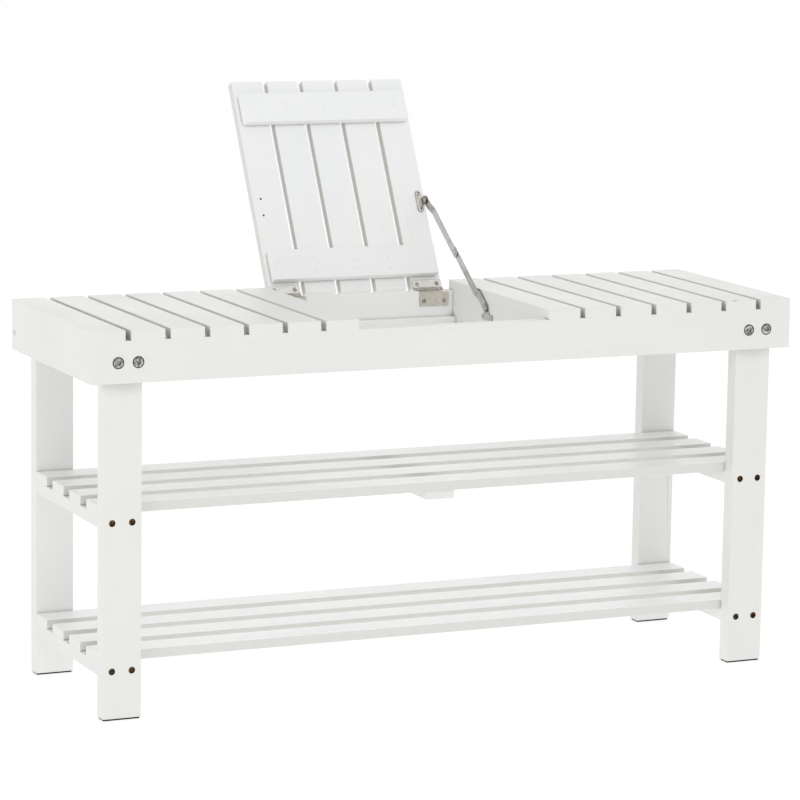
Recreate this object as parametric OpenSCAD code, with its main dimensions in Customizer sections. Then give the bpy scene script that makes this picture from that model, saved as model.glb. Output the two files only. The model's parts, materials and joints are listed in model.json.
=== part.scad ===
// Slatted storage bench: a lidded compartment in the middle of the seat and two open shelves below.
// X runs along the seat, Y from front to back, Z up from the floor. It is drawn with the lid open.

/* [Bench] */
// Overall length of the seat
bench_length = 900; // [800:10:1100]
// Depth of the seat, front face to back face
bench_depth = 284; // [270:2:320]
// Height of the seat's top above the floor
seat_height = 454; // [430:2:480]

/* [Seat] */
// Gap between neighbouring seat slats
slat_gap = 6.65; // [5:0.05:8]
// Thickness of the seat and lid slats
slat_thickness = 12; // [10:0.5:15]
// Height of the rails of the seat frame
rail_height = 48.5; // [44:0.5:60]
// Thickness of the front and back rails
rail_thickness = 13.5; // [13:0.5:14]
// Thickness of the end rails
end_rail_thickness = 18; // [15:0.5:19]

/* [Legs] */
// Width of a leg along the bench
leg_width = 46.5; // [40:0.5:60]
// Thickness of a leg, front to back
leg_thickness = 19; // [18:0.5:24]
// Distance from the end of the bench to the leg
leg_inset = 19.3; // [19.3:0.1:30]
// Height of the pad under a leg
pad_height = 2; // [1.5:0.5:4]
// Distance from the pad's edge to the leg's edge
pad_margin = 1.5; // [1:0.5:3]

/* [Shelves] */
// Height of the upper shelf's top above the floor
upper_shelf_top = 249.5; // [230:0.5:270]
// Height of the lower shelf's top above the floor
lower_shelf_top = 76.5; // [70:0.5:110]
// Width of a shelf slat
shelf_slat_width = 39; // [34:0.5:42]
// Thickness of a shelf slat
shelf_slat_thickness = 11.5; // [10:0.5:15]
// Height of the cross rails that carry a shelf
cross_rail_height = 14.5; // [14:0.5:20]
// Width of the batten under the middle of the upper shelf
centre_batten_width = 36.5; // [30:0.5:45]
// Thickness of the batten under the middle of the upper shelf
centre_batten_thickness = 10; // [8:0.5:14]

/* [Compartment] */
// Thickness of the two dividers that close the compartment's sides
divider_thickness = 12; // [11:0.5:18]
// Thickness of the compartment's floor panel
floor_thickness = 5; // [4:0.5:6]
// Depth of the cleats along the front and back of the floor
cleat_depth = 10; // [8:0.5:12]
// Height of the cleats
cleat_height = 11.5; // [9:0.5:12]

/* [Lid] */
// Angle through which the lid opens from flat
lid_opening = 118.5; // [112:0.5:120]
// Width of the two battens under the lid
lid_batten_width = 39; // [34:0.5:42]
// Thickness of the two battens under the lid
lid_batten_thickness = 11.5; // [9:0.5:13]
// Distance from the ends of a batten to the sides of the lid
lid_batten_inset = 5; // [5:0.5:8]

/* [Hinges] */
// Width of a hinge along its pin
hinge_width = 39.6; // [36:0.2:40]
// Distance from the middle of the bench to the middle of a hinge
hinge_offset = 96.1; // [96:0.1:97]
// Thickness of the hinge leaves
leaf_thickness = 1; // [0.8:0.1:1]

/* [Stay] */
// Width of the stay's arms
arm_width = 10; // [9:0.5:10]
// Thickness of the stay's arms and brackets
arm_thickness = 1.2; // [1:0.1:1.2]

/* [Hidden] */
$fn = 48;
side_slats = 7;
lid_slats = 5;
shelf_slats = 4;
slat_count = 2 * side_slats + lid_slats;
slat_width = (bench_length - (slat_count - 1) * slat_gap) / slat_count;
slat_pitch = slat_width + slat_gap;

half_length = bench_length / 2;
back_y = bench_depth / 2;
front_y = -back_y;
rail_top = seat_height - slat_thickness;
rail_bottom = rail_top - rail_height;
rail_face_y = back_y - rail_thickness;
leg_face_y = rail_face_y - leg_thickness;
leg_outer_x = half_length - leg_inset;
leg_inner_x = leg_outer_x - leg_width;

opening_half = (lid_slats * slat_width + (lid_slats + 1) * slat_gap) / 2;
lid_half = opening_half - slat_gap;
lid_gap = 0.5;
lid_bottom = rail_top + lid_gap;
lid_rear_y = back_y + 1;
front_batten_y = front_y + 20.5;
rear_batten_y = rail_face_y - 1 - lid_batten_width;

// Hinges: knuckles stand behind the back rail, and the leaf on the rail wraps over its top
hinge_y = back_y + 4;
hinge_z = rail_top - 0.7;
knuckle_r = 2.7;
pin_r = 1.2;
pin_bore_r = 1.25;
knuckle_count = 5;
knuckle_gap = 0.3;
leaf_corner_r = 2;
leaf_drop = 18.6;
leaf_end_y = back_y + 1;
frame_leaf_top = lid_bottom - leaf_thickness - 0.2;
lid_leaf_y = rail_face_y + 3.9;
leaf_screw_spacing = 27;
frame_leaf_screw_z = rail_top - 11.9;
lid_leaf_screw_y = lid_leaf_y + 5.5;

// Screws
screw_r = 1.5;
screw_hole_r = 1.6;
screw_head_r = 2.95;
screw_length = 9;
drive_width = 0.9;
drive_length = 3.4;
drive_depth = 0.8;

// Frame bolts and shelf screws
bolt_r = 3;
bolt_hole_r = 3.2;
bolt_head_r = 6.2;
bolt_head_h = 3;
bolt_length = 30;
bolt_spacing = 24;
bolt_from_end = 44.5;
bolt_z = (rail_top + rail_bottom) / 2 - 0.5;
socket_across = 4;
shelf_screw_r = 2;
shelf_screw_hole_r = 2.1;
shelf_screw_spacing = 24.2;
shelf_screw_length = 38;
counterbore_r = 4;
counterbore_depth = 6;
shelf_screw_head_r = 3.7;
shelf_screw_head_h = 3;

// Folding stay, in the plane of the compartment's right side
clearance = 0.1;
stay_frame_y = 30;
stay_frame_z = rail_top - 9;
stay_lid_y = 26.8;
stay_lid_z = lid_bottom - 6.5;
arm_r = arm_width / 2;
rivet_r = 1.5;
rivet_hole_r = 1.55;
rivet_head_r = 3.2;
rivet_head_h = 0.7;
bracket_x = opening_half - arm_thickness;
lower_foot_x = bracket_x - clearance - arm_thickness;
lower_arm_x = lower_foot_x - 2.1;
upper_arm_x = lower_arm_x - clearance - arm_thickness;
ear_x = lid_half - 3.3;
upper_end_x = ear_x + arm_thickness + clearance;
arm_tip = 3;
bracket_length = 29;
bracket_width = 7.6;
bracket_screw_spacing = 22;
bracket_drop = 11.2;
frame_bracket_y = stay_frame_y - 3;
gusset = 5;
ear_r = 5;
ear_reach = 2.1;
pilot_hole_r = 1.25;
pilot_hole_depth = 8;
spare_hole_inset = 3;

// A point (y, z) turned about the hinge pins by an angle, positive when the lid closes
function turned(p, angle) = [
    hinge_y + cos(angle) * (p[0] - hinge_y) - sin(angle) * (p[1] - hinge_z),
    hinge_z + sin(angle) * (p[0] - hinge_y) + cos(angle) * (p[1] - hinge_z)
];
function slope(from, to) = atan2(to[1] - from[1], to[0] - from[0]);

// The stay is straight when the lid is open, and its lower arm lies level when the lid is shut
frame_pivot = [stay_frame_y, stay_frame_z];
lid_pivot_shut = [stay_lid_y, stay_lid_z];
lid_pivot = turned(lid_pivot_shut, -lid_opening);
stay_reach = norm(lid_pivot - frame_pivot);
pivot_step = stay_frame_y - stay_lid_y;
pivot_rise = stay_lid_z - stay_frame_z;
lower_length = (stay_reach^2 - pivot_step^2 - pivot_rise^2) / (2 * (stay_reach - pivot_step));
upper_length = stay_reach - lower_length;
stay_slope = slope(frame_pivot, lid_pivot);
elbow = frame_pivot + lower_length * [cos(stay_slope), sin(stay_slope)];

// The origin lies on the floor, midway between the front bolt heads and the top of the open lid
open_lid_top = turned([front_y, lid_bottom + slat_thickness], -lid_opening);
bolt_front_y = front_y - bolt_head_h;
origin_y = round((bolt_front_y + open_lid_top[0]) / 2);

paint = [0.95, 0.95, 0.94];
shade_paint = [0.91, 0.91, 0.9];
nickel = [0.72, 0.7, 0.66];
steel = [0.62, 0.62, 0.6];
rubber = [0.12, 0.12, 0.13];

// ---- Helpers ----

// A box between two opposite corners
module block(low, high) {
    translate(low) cube(high - low);
}

// A copy on each side of the middle of the bench
module left_and_right() {
    children();
    mirror([1, 0, 0]) children();
}

// A copy at the front and at the back
module front_and_back() {
    children();
    mirror([0, 1, 0]) children();
}

// Moves the bench so that the origin is on the floor under the middle of its outline
module placed() {
    translate([0, -origin_y, 0]) children();
}

// Turns what belongs to the lid from shut to open
module opened() {
    translate([0, hinge_y, hinge_z])
        rotate([-lid_opening, 0, 0])
            translate([0, -hinge_y, -hinge_z])
                children();
}

// A cylinder along +X that starts at x
module x_rod(x, y, z, r, length) {
    translate([x, y, z]) rotate([0, 90, 0]) cylinder(r = r, h = length);
}

// A cylinder along +Y that starts at y
module y_rod(x, y, z, r, length) {
    translate([x, y, z]) rotate([-90, 0, 0]) cylinder(r = r, h = length);
}

// A cross for a screwdriver, sunk below z = 0
module drive_cross() {
    for (turn = [0, 90])
        rotate([0, 0, turn])
            translate([-drive_length / 2, -drive_width / 2, -drive_depth])
                cube([drive_length, drive_width, 2 * drive_depth]);
}

// A flat-headed screw: head flush with z = 0, point along -Z
module flat_screw() {
    difference() {
        union() {
            translate([0, 0, -leaf_thickness])
                cylinder(r1 = screw_head_r - leaf_thickness, r2 = screw_head_r, h = leaf_thickness);
            translate([0, 0, -leaf_thickness - screw_length])
                cylinder(r = screw_r, h = screw_length);
        }
        drive_cross();
    }
}

// The countersunk hole for a flat-headed screw, and its pilot hole beyond
module flat_screw_hole() {
    spare = 0.05;
    translate([0, 0, -leaf_thickness])
        cylinder(r1 = screw_head_r - leaf_thickness + spare, r2 = screw_head_r + spare, h = leaf_thickness);
    translate([0, 0, -leaf_thickness - screw_length - 1])
        cylinder(r = screw_hole_r, h = screw_length + 1.5);
}

// A dome of a given radius and height standing on z = 0
module dome(r, h) {
    sphere_r = (r^2 + h^2) / (2 * h);
    intersection() {
        translate([0, 0, h - sphere_r]) sphere(r = sphere_r);
        cylinder(r = r + 1, h = h + 1);
    }
}

// A round-headed screw: head on z = 0, point along -Z
module round_screw() {
    difference() {
        union() {
            dome(rivet_head_r, 1.5);
            translate([0, 0, -arm_thickness - screw_length])
                cylinder(r = screw_r, h = arm_thickness + screw_length);
        }
        translate([0, 0, 1.5]) drive_cross();
    }
}

// The pilot hole for a round-headed screw
module round_screw_hole() {
    translate([0, 0, -arm_thickness - screw_length - 1])
        cylinder(r = screw_hole_r, h = arm_thickness + screw_length + 2);
}

// Where things sit: each places its children with +Z pointing out of the surface
module at_leaf_screws_on_rail() {
    for (side = [-1, 1])
        for (end = [-1, 1])
            translate([
                side * hinge_offset + end * leaf_screw_spacing / 2,
                rail_face_y - leaf_thickness,
                frame_leaf_screw_z
            ])
                rotate([90, 0, 0])
                    children();
}

module at_leaf_screws_on_lid() {
    for (side = [-1, 1])
        for (end = [-1, 1])
            translate([
                side * hinge_offset + end * leaf_screw_spacing / 2,
                lid_leaf_screw_y,
                lid_bottom - leaf_thickness
            ])
                rotate([180, 0, 0])
                    children();
}

module at_bracket_screws_on_divider() {
    for (end = [-1, 1])
        translate([
            bracket_x,
            frame_bracket_y + end * bracket_screw_spacing / 2,
            stay_frame_z - bracket_drop
        ])
            rotate([0, -90, 0])
                children();
}

module at_bracket_screws_on_lid() {
    for (end = [-1, 1])
        translate([
            ear_x + arm_thickness - ear_reach - bracket_width / 2,
            stay_lid_y + end * bracket_screw_spacing / 2,
            lid_bottom - arm_thickness
        ])
            rotate([180, 0, 0])
                children();
}

// The two bolts of the front left leg, pointing back
module at_front_left_bolts() {
    for (end = [-1, 1])
        translate([-half_length + bolt_from_end + end * bolt_spacing / 2, front_y, bolt_z])
            rotate([90, 0, 0])
                children();
}

// The two screws that hold one shelf's cross rail to the front left leg
module at_front_left_shelf_screws(shelf_top) {
    for (end = [-1, 1])
        translate([
            -leg_outer_x + leg_width / 2 + end * shelf_screw_spacing / 2,
            -rail_face_y,
            cross_rail_mid(shelf_top)
        ])
            rotate([90, 0, 0])
                children();
}

function cross_rail_mid(shelf_top) = shelf_top - shelf_slat_thickness - cross_rail_height / 2;

// ---- Seat and its frame ----

// Slat number k, counted from the left end
module seat_slat(k) {
    x = -half_length + (k - 1) * slat_pitch;
    color(paint)
        block([x, front_y, rail_top], [x + slat_width, back_y, seat_height]);
}

module front_rail() {
    color(paint)
        difference() {
            block(
                [-half_length + end_rail_thickness, front_y, rail_bottom],
                [half_length - end_rail_thickness, -rail_face_y, rail_top]
            );
            left_and_right() at_front_left_bolts() bolt_hole();
        }
}

module back_rail() {
    color(paint)
        difference() {
            block(
                [-half_length + end_rail_thickness, rail_face_y, rail_bottom],
                [half_length - end_rail_thickness, back_y, rail_top]
            );
            left_and_right() mirror([0, 1, 0]) at_front_left_bolts() bolt_hole();
            left_and_right() hinge_recess();
            at_leaf_screws_on_rail() flat_screw_hole();
        }
}

// The shallow seat cut into the top of the back rail for a hinge leaf
module hinge_recess() {
    block(
        [
            hinge_offset - hinge_width / 2 - clearance,
            rail_face_y - 1,
            frame_leaf_top - leaf_thickness
        ],
        [hinge_offset + hinge_width / 2 + clearance, back_y + 1, rail_top + 1]
    );
}

module end_rail() {
    color(paint)
        block([half_length - end_rail_thickness, front_y, rail_bottom], [half_length, back_y, rail_top]);
}

module left_divider() {
    color(paint)
        block(
            [-opening_half - divider_thickness, -rail_face_y, rail_bottom],
            [-opening_half, rail_face_y, rail_top]
        );
}

module right_divider() {
    color(paint)
        difference() {
            block(
                [opening_half, -rail_face_y, rail_bottom],
                [opening_half + divider_thickness, rail_face_y, rail_top]
            );
            at_bracket_screws_on_divider() round_screw_hole();
        }
}

module compartment_floor() {
    color(shade_paint)
        block(
            [-opening_half, -rail_face_y, rail_bottom],
            [opening_half, rail_face_y, rail_bottom + floor_thickness]
        );
}

module floor_cleats() {
    color(paint)
        front_and_back()
            block(
                [-opening_half, rail_face_y - cleat_depth, rail_bottom + floor_thickness],
                [opening_half, rail_face_y, rail_bottom + floor_thickness + cleat_height]
            );
}

// ---- Legs, pads and shelves ----

module front_left_leg() {
    color(paint)
        difference() {
            block([-leg_outer_x, -rail_face_y, pad_height], [-leg_inner_x, -leg_face_y, rail_top]);
            at_front_left_bolts() bolt_hole();
            at_front_left_shelf_screws(upper_shelf_top) shelf_screw_hole();
            at_front_left_shelf_screws(lower_shelf_top) shelf_screw_hole();
        }
}

module foot_pads() {
    color(rubber)
        left_and_right()
            front_and_back()
                block(
                    [-leg_outer_x + pad_margin, -rail_face_y + pad_margin, 0],
                    [-leg_inner_x - pad_margin, -leg_face_y - pad_margin, pad_height]
                );
}

// Slat number k of a shelf, counted from the front
module shelf_slat(shelf_top, k) {
    pitch = (2 * leg_face_y - shelf_slat_width) / (shelf_slats - 1);
    y = -leg_face_y + (k - 1) * pitch;
    color(paint)
        block(
            [-leg_outer_x, y, shelf_top - shelf_slat_thickness],
            [leg_outer_x, y + shelf_slat_width, shelf_top]
        );
}

// The rail between the left legs that carries the ends of a shelf's slats
module left_cross_rail(shelf_top) {
    mid = cross_rail_mid(shelf_top);
    color(shade_paint)
        difference() {
            block(
                [-leg_outer_x, -leg_face_y, mid - cross_rail_height / 2],
                [-leg_inner_x, leg_face_y, mid + cross_rail_height / 2]
            );
            front_and_back() at_front_left_shelf_screws(shelf_top) shelf_screw_hole();
        }
}

module shelf_centre_batten() {
    reach = leg_face_y - 2;
    top = upper_shelf_top - shelf_slat_thickness;
    color(paint)
        block(
            [-centre_batten_width / 2, -reach, top - centre_batten_thickness],
            [centre_batten_width / 2, reach, top]
        );
}

// ---- Lid, drawn shut and then opened ----

// Slat number k of the lid, counted from the left
module lid_slat(k) {
    x = -lid_half + (k - 1) * slat_pitch;
    color(paint)
        opened()
            difference() {
                block([x, front_y, lid_bottom], [x + slat_width, lid_rear_y, lid_bottom + slat_thickness]);
                if (k == 1 || k == lid_slats) at_leaf_screws_on_lid() flat_screw_hole();
                if (k == 1)
                    translate([spare_hole_inset, 0, 0])
                        mirror([1, 0, 0]) at_bracket_screws_on_lid() spare_pilot_hole();
                if (k == lid_slats) at_bracket_screws_on_lid() round_screw_hole();
            }
}

// A small empty hole for fitting the stay on the other side
module spare_pilot_hole() {
    translate([0, 0, -arm_thickness - pilot_hole_depth])
        cylinder(r = pilot_hole_r, h = pilot_hole_depth + 1);
}

// A batten whose front edge is at y
module lid_batten(y) {
    reach = lid_half - lid_batten_inset;
    color(paint)
        opened()
            block([-reach, y, lid_bottom - lid_batten_thickness], [reach, y + lid_batten_width, lid_bottom]);
}

// ---- Hinges ----

// A plate with round corners, from (0, 0) to (w, h), of thickness t along +Z
module rounded_plate(w, h, r, t) {
    linear_extrude(t) {
        translate([r, 0]) square([w - 2 * r, h]);
        translate([0, r]) square([w, h - 2 * r]);
        for (x = [r, w - r])
            for (y = [r, h - r])
                translate([x, y]) circle(r = r);
    }
}

// The knuckles of one leaf: those whose number leaves the given remainder when halved
module knuckles(odd) {
    step = hinge_width / knuckle_count;
    for (i = [odd:2:knuckle_count - 1])
        x_rod(
            hinge_offset - hinge_width / 2 + i * step + knuckle_gap / 2,
            hinge_y,
            hinge_z,
            knuckle_r,
            step - knuckle_gap
        );
}

// The straps that join a leaf's edge to its knuckles, between two heights
module knuckle_straps(odd, low_z, high_z) {
    step = hinge_width / knuckle_count;
    for (i = [odd:2:knuckle_count - 1])
        block(
            [hinge_offset - hinge_width / 2 + i * step + knuckle_gap / 2, leaf_end_y - 0.5, low_z],
            [hinge_offset - hinge_width / 2 + (i + 1) * step - knuckle_gap / 2, hinge_y - 0.5, high_z]
        );
}

module pin_bore() {
    x_rod(hinge_offset - hinge_width, hinge_y, hinge_z, pin_bore_r, 2 * hinge_width);
}

// Leaf on the back rail: down the rail's inner face, over its top and out to the knuckles
module hinge_frame_leaf() {
    left = hinge_offset - hinge_width / 2;
    difference() {
        union() {
            translate([left, rail_face_y, rail_top - leaf_drop])
                rotate([90, 0, 0])
                    rounded_plate(
                        hinge_width,
                        frame_leaf_top - rail_top + leaf_drop,
                        leaf_corner_r,
                        leaf_thickness
                    );
            block(
                [left, rail_face_y - leaf_thickness, frame_leaf_top - leaf_corner_r - 1],
                [left + hinge_width, rail_face_y, frame_leaf_top]
            );
            block(
                [left, rail_face_y - leaf_thickness, frame_leaf_top - leaf_thickness],
                [left + hinge_width, leaf_end_y, frame_leaf_top]
            );
            knuckle_straps(1, frame_leaf_top - leaf_thickness, frame_leaf_top);
            knuckles(1);
        }
        pin_bore();
        at_leaf_screws_on_rail() flat_screw_hole();
    }
}

// Leaf on the underside of the lid, drawn shut
module hinge_lid_leaf() {
    left = hinge_offset - hinge_width / 2;
    difference() {
        union() {
            translate([left, lid_leaf_y, lid_bottom - leaf_thickness])
                rounded_plate(hinge_width, leaf_end_y - lid_leaf_y, leaf_corner_r, leaf_thickness);
            block(
                [left, leaf_end_y - leaf_corner_r - 1, lid_bottom - leaf_thickness],
                [left + hinge_width, leaf_end_y, lid_bottom]
            );
            knuckle_straps(0, lid_bottom - leaf_thickness, lid_bottom);
            knuckles(0);
        }
        pin_bore();
        at_leaf_screws_on_lid() flat_screw_hole();
    }
}

module hinge_frame_leaves() {
    color(nickel) left_and_right() hinge_frame_leaf();
}

module hinge_lid_leaves() {
    color(nickel) opened() left_and_right() hinge_lid_leaf();
}

module hinge_pins() {
    color(steel)
        left_and_right()
            x_rod(hinge_offset - hinge_width / 2, hinge_y, hinge_z, pin_r, hinge_width);
}

// ---- Folding stay ----

// A strip along +X that steps sideways: its underside runs from (start, 0) to (length, step)
module stepped_strip(start, length, step, step_from, step_to) {
    translate([0, arm_r, 0])
        rotate([90, 0, 0])
            linear_extrude(arm_width)
                polygon([
                    [start, 0],
                    [step_from, 0],
                    [step_to, step],
                    [length, step],
                    [length, step + arm_thickness],
                    [step_to - 0.3, step + arm_thickness],
                    [step_from - 0.3, arm_thickness],
                    [start, arm_thickness]
                ]);
}

// Lays what is drawn along +X, with its thickness along +Z, along the stay from a pivot
module in_stay_plane(x, pivot, angle) {
    translate([x, pivot[0], pivot[1]])
        rotate([angle, 0, 0])
            facing_x()
                children();
}

// Turns the drawing axes so that X runs along Y, Y along Z and Z along X
module facing_x() {
    rotate([90, 0, 90]) children();
}

// T-shaped plate screwed to the right divider, with a gusset on the front of its stem
module stay_frame_bracket() {
    plate_low = [
        bracket_x,
        frame_bracket_y - bracket_length / 2,
        stay_frame_z - bracket_drop - bracket_width / 2
    ];
    corner = bracket_width / 2 - 0.1;
    color(nickel)
        difference() {
            union() {
                x_rod(bracket_x, stay_frame_y, stay_frame_z, arm_r, arm_thickness);
                translate([bracket_x, stay_frame_y, stay_frame_z])
                    facing_x()
                        linear_extrude(arm_thickness)
                            polygon([
                                [-arm_r, 0],
                                [-arm_r - gusset, -bracket_drop],
                                [arm_r, -bracket_drop],
                                [arm_r, 0]
                            ]);
                translate(plate_low)
                    facing_x()
                        rounded_plate(bracket_length, bracket_width, corner, arm_thickness);
            }
            x_rod(bracket_x - 1, stay_frame_y, stay_frame_z, rivet_hole_r, arm_thickness + 2);
            at_bracket_screws_on_divider() round_screw_hole();
        }
}

// Lower arm, from the bracket on the divider to the elbow, stepped away from the divider
module stay_lower_arm() {
    step = lower_arm_x - lower_foot_x;
    color(nickel)
        in_stay_plane(lower_foot_x, frame_pivot, stay_slope)
            difference() {
                union() {
                    stepped_strip(0, lower_length + arm_tip, step, 24, 28);
                    cylinder(r = arm_r, h = arm_thickness);
                    translate([lower_length + arm_tip, 0, step]) cylinder(r = arm_r, h = arm_thickness);
                }
                translate([0, 0, -1]) cylinder(r = rivet_hole_r, h = 4);
                translate([lower_length, 0, step - 1]) cylinder(r = rivet_hole_r, h = 4);
            }
}

// Upper arm, from the elbow to the ear on the lid, stepped inwards near the lid
module stay_upper_arm() {
    step = upper_end_x - upper_arm_x;
    color(nickel)
        in_stay_plane(upper_arm_x, elbow, stay_slope)
            difference() {
                union() {
                    stepped_strip(-arm_tip, upper_length, step, upper_length - 22, upper_length - 12);
                    translate([-arm_tip, 0, 0]) cylinder(r = arm_r, h = arm_thickness);
                    translate([upper_length, 0, step]) cylinder(r = arm_r, h = arm_thickness);
                }
                translate([0, 0, -1]) cylinder(r = rivet_hole_r, h = 4);
                translate([upper_length, 0, step - 1]) cylinder(r = rivet_hole_r, h = 4);
            }
}

// Plate under the lid, with an ear beside it for the upper arm, drawn shut and then opened
module stay_lid_bracket() {
    half = bracket_length / 2;
    outer = ear_x + arm_thickness;
    plate_x = outer - ear_reach - bracket_width;
    corner = bracket_width / 2 - 0.1;
    color(nickel)
        opened()
            difference() {
                union() {
                    translate([plate_x, stay_lid_y - half, lid_bottom - arm_thickness])
                        rounded_plate(bracket_width, bracket_length, corner, arm_thickness);
                    block(
                        [plate_x + corner, stay_lid_y - ear_r, lid_bottom - arm_thickness],
                        [outer, stay_lid_y + ear_r, lid_bottom]
                    );
                    block(
                        [ear_x, stay_lid_y - ear_r, stay_lid_z],
                        [outer, stay_lid_y + ear_r, lid_bottom]
                    );
                    x_rod(ear_x, stay_lid_y, stay_lid_z, ear_r, arm_thickness);
                }
                x_rod(ear_x - 1, stay_lid_y, stay_lid_z, rivet_hole_r, arm_thickness + 2);
                at_bracket_screws_on_lid() round_screw_hole();
            }
}

// A rivet along +X: a head on each side that is asked for, and a shank between two planes
module rivet(from_x, to_x, pivot, near_head, far_head) {
    translate([from_x, pivot[0], pivot[1]]) {
        rotate([0, 90, 0]) cylinder(r = rivet_r, h = to_x - from_x);
        if (near_head) rotate([0, -90, 0]) dome(rivet_head_r, rivet_head_h);
    }
    if (far_head)
        translate([to_x, pivot[0], pivot[1]]) rotate([0, 90, 0]) dome(rivet_head_r, rivet_head_h);
}

// The rivet in the divider's bracket, and the lower arm's half of the elbow rivet
module lower_arm_rivets() {
    elbow_face = lower_arm_x + arm_thickness;
    color(steel) {
        rivet(lower_foot_x, opening_half - clearance, frame_pivot, true, false);
        rivet(lower_arm_x + clearance / 2, elbow_face, elbow, false, true);
    }
}

// The upper arm's half of the elbow rivet, and the rivet in the lid's ear
module upper_arm_rivets() {
    elbow_face = upper_arm_x + arm_thickness;
    color(steel) {
        rivet(upper_arm_x, elbow_face - clearance / 2, elbow, true, false);
        rivet(ear_x - clearance, upper_end_x + arm_thickness, lid_pivot, true, true);
    }
}

// ---- Fasteners ----

// A socket-headed bolt: head on z = 0, shank along -Z
module frame_bolt() {
    difference() {
        union() {
            dome(bolt_head_r, bolt_head_h);
            translate([0, 0, -bolt_length]) cylinder(r = bolt_r, h = bolt_length);
        }
        translate([0, 0, 0.8]) cylinder(r = socket_across / sqrt(3), h = bolt_head_h, $fn = 6);
    }
}

module bolt_hole() {
    translate([0, 0, -bolt_length - 1]) cylinder(r = bolt_hole_r, h = bolt_length + 2);
}

module frame_bolts() {
    color(steel)
        left_and_right()
            front_and_back()
                at_front_left_bolts()
                    frame_bolt();
}

// A screw sunk in a counterbore whose mouth is at z = 0
module shelf_screw() {
    head_top = shelf_screw_head_h - counterbore_depth;
    difference() {
        translate([0, 0, -counterbore_depth]) {
            cylinder(r = shelf_screw_head_r, h = shelf_screw_head_h);
            translate([0, 0, -shelf_screw_length])
                cylinder(r = shelf_screw_r, h = shelf_screw_length);
        }
        translate([0, 0, head_top]) drive_cross();
    }
}

module shelf_screw_hole() {
    translate([0, 0, -counterbore_depth]) cylinder(r = counterbore_r, h = counterbore_depth + 1);
    translate([0, 0, -counterbore_depth - shelf_screw_length - 1])
        cylinder(r = shelf_screw_hole_r, h = shelf_screw_length + 2);
}

module shelf_screws() {
    color(steel)
        left_and_right()
            front_and_back()
                for (shelf_top = [upper_shelf_top, lower_shelf_top])
                    at_front_left_shelf_screws(shelf_top)
                        shelf_screw();
}

module frame_screws() {
    color(steel) {
        at_leaf_screws_on_rail() flat_screw();
        at_bracket_screws_on_divider() round_screw();
    }
}

module lid_screws() {
    color(steel)
        opened() {
            at_leaf_screws_on_lid() flat_screw();
            at_bracket_screws_on_lid() round_screw();
        }
}

// ---- What is drawn ----

for (i = [1:side_slats]) {
    placed() seat_slat(i);
    placed() seat_slat(slat_count + 1 - i);
}
for (i = [1:lid_slats]) {
    placed() lid_slat(i);
}
for (i = [1:shelf_slats]) {
    placed() shelf_slat(upper_shelf_top, i);
    placed() shelf_slat(lower_shelf_top, i);
}
placed() front_rail();
placed() back_rail();
placed() mirror([1, 0, 0]) end_rail();  // left_end_rail
placed() end_rail();  // right_end_rail
placed() front_left_leg();
placed() mirror([1, 0, 0]) front_left_leg();  // front_right_leg
placed() mirror([0, 1, 0]) front_left_leg();  // back_left_leg
placed() rotate([0, 0, 180]) front_left_leg();  // back_right_leg
placed() left_divider();
placed() right_divider();
placed() compartment_floor();
placed() floor_cleats();
placed() left_cross_rail(upper_shelf_top);  // upper_left_cross_rail
placed() mirror([1, 0, 0]) left_cross_rail(upper_shelf_top);  // upper_right_cross_rail
placed() left_cross_rail(lower_shelf_top);  // lower_left_cross_rail
placed() mirror([1, 0, 0]) left_cross_rail(lower_shelf_top);  // lower_right_cross_rail
placed() shelf_centre_batten();
placed() lid_batten(front_batten_y);  // lid_front_batten
placed() lid_batten(rear_batten_y);  // lid_rear_batten
placed() hinge_frame_leaves();
placed() hinge_lid_leaves();
placed() hinge_pins();
placed() stay_frame_bracket();
placed() stay_lower_arm();
placed() stay_upper_arm();
placed() stay_lid_bracket();
placed() lower_arm_rivets();
placed() upper_arm_rivets();
placed() frame_bolts();
placed() shelf_screws();
placed() frame_screws();
placed() lid_screws();
placed() foot_pads();
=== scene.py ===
import json
import math
import random

import bmesh
import bpy
from mathutils import Matrix, Vector


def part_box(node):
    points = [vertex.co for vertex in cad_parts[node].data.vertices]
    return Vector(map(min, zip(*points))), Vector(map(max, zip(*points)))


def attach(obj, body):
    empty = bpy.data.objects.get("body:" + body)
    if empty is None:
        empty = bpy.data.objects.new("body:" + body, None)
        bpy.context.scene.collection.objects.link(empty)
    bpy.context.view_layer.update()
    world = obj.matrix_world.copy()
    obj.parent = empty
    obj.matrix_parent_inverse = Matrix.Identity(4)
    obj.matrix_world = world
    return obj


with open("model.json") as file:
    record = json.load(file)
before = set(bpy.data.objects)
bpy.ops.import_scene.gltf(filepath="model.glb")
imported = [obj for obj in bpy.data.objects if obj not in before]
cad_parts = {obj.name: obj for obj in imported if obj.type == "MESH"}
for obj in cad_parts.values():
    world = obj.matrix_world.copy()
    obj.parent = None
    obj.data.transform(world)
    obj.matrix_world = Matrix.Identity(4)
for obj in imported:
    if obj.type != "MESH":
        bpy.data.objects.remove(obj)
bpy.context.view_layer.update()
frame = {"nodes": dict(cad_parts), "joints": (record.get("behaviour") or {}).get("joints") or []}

MM = 0.001

# The photo's camera: its place in metres, its angles in degrees, its lens and sensor in mm
CAMERA_PLACE = Vector((-1.8000, -4.0635, 1.0626))
CAMERA_YAW = -24.221
CAMERA_PITCH = -9.506
CAMERA_ROLL = 0.885
CAMERA_LENS = 165.08
SENSOR_WIDTH = 36.0

# The lid's hinge, and how far the lid is open at rest
HINGE = [j for j in frame["joints"] if j["name"] == "lid_hinge"][0]
HINGE_PLACE = Vector(HINGE["pos_m"])
LID_ANGLE = HINGE["range_deg"][1]
LID_TURN = Matrix.Rotation(math.radians(-LID_ANGLE), 3, "X")

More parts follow.
